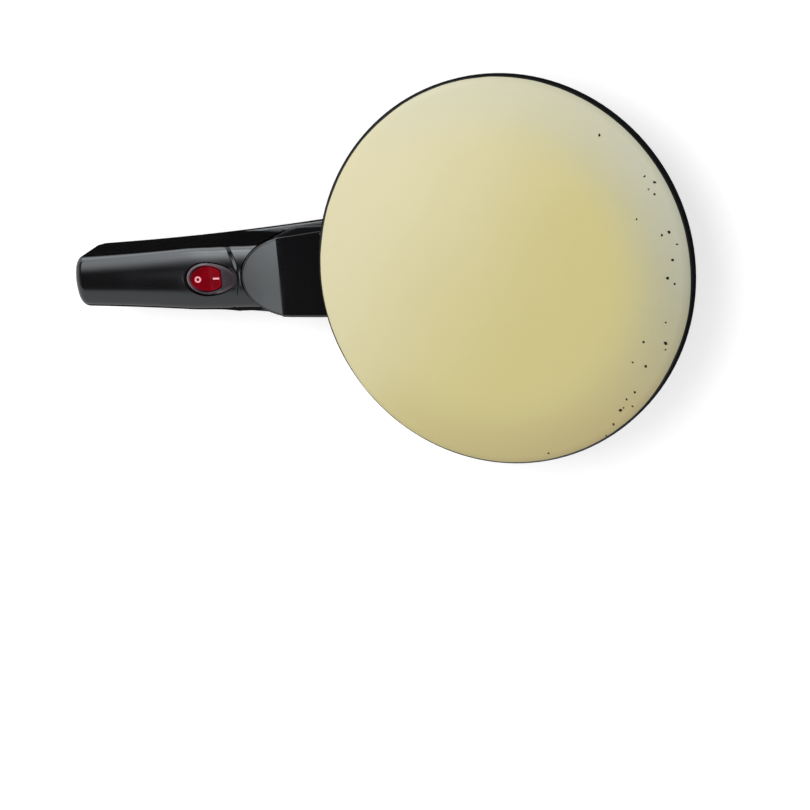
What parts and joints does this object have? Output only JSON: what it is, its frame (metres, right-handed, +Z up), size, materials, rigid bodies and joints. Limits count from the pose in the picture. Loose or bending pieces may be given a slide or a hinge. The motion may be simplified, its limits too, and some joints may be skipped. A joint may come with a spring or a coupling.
{
  "type": "electric crepe maker",
  "caption": "Hand-held electric crepe maker: a domed round hot plate coated in batter, on a slim base with a hollow tapered handle and a red rocker switch.",
  "frame": {"origin": "under the middle of the overall length, on the plane on which the feet stand", "axes": "+Z up out of the cooking plate, -X along the handle to the cord's end, Y across"},
  "size_m": [0.356, 0.2, 0.0629],
  "materials": {
    "plate": "cast aluminium with a black non-stick coating",
    "batter": "moist pale batter, half set",
    "shell": "glossy moulded phenolic",
    "bezel": "satin moulded nylon",
    "rocker": "clear red polycarbonate, lit from inside",
    "marks": "printed",
    "rubber": "moulded",
    "seal": "silicone sheet",
    "zinc_steel": "zinc plated",
    "sheet_steel": "rolled",
    "element_steel": "heat tinted",
    "aluminium_sheet": "rolled",
    "brass": "stamped",
    "porcelain": "glazed",
    "fibre_board": "pressed mineral fibre",
    "bakelite": "moulded",
    "sleeve": "woven glass-fibre sleeve",
    "nylon_white": "moulded",
    "wire_brown": "silicone insulation",
    "wire_blue": "silicone insulation",
    "wire_earth": "silicone insulation",
    "lamp_glass": "clear"
  },
  "bodies": {
    "housing": {"cooking_plate": "plate", "heating_element": "element_steel", "element_ends": "porcelain", "element_clamps": "sheet_steel", "clamp_screws": "zinc_steel", "insulation_disc": "fibre_board", "heat_shield": "aluminium_sheet", "thermostat": "bakelite", "thermostat_bracket": "sheet_steel", "thermostat_screws": "zinc_steel", "thermal_fuse": "sleeve", "fuse_clip": "sheet_steel", "fuse_screw": "zinc_steel", "earth_screw": "brass", "rim_seal": "seal", "base_housing": "shell", "feet": "rubber", "housing_screws": "zinc_steel", "neck_cover": "shell", "neck_screws": "zinc_steel", "handle_top": "shell", "handle_bottom": "shell", "handle_screws": "zinc_steel", "handle_bracket": "sheet_steel", "bracket_screws": "zinc_steel", "switch_housing": "bezel", "switch_terminals": "brass", "switch_lamp": "lamp_glass", "terminal_block": "nylon_white", "terminal_screws": "brass", "cord_gland": "rubber", "cord_clamp": "bakelite", "cord_clamp_screws": "zinc_steel", "live_wire": "wire_brown", "switched_wire": "wire_brown", "fuse_lead": "sleeve", "neutral_wire": "wire_blue", "lamp_wire": "wire_blue", "earth_wire": "wire_earth"},
    "rocker": {"switch_rocker": "rocker", "rocker_marks": "marks", "rocker_plunger": "zinc_steel"},
    "seesaw": {"switch_seesaw": "brass"},
    "crepe": {"batter_coat": "batter"}
  },
  "joints": [
    {"name": "rocker_tilt", "type": "hinge", "parent": "housing", "child": "rocker", "pos_m": [-0.0915, 0, 0.0404], "axis": [0, -1, 0], "range_deg": [0, 20]},
    {"name": "seesaw_tilt", "type": "hinge", "parent": "housing", "child": "seesaw", "pos_m": [-0.0915, 0, 0.032], "axis": [0, 1, 0], "range_deg": [0, 12]},
    {"name": "crepe_lift", "type": "slide", "parent": "housing", "child": "crepe", "axis": [0, 0, 1], "range_m": [0, 0.05]}
  ],
  "couplings": [
    {"joint": "seesaw_tilt", "follows": "rocker_tilt", "ratio": 0.6}
  ]
}
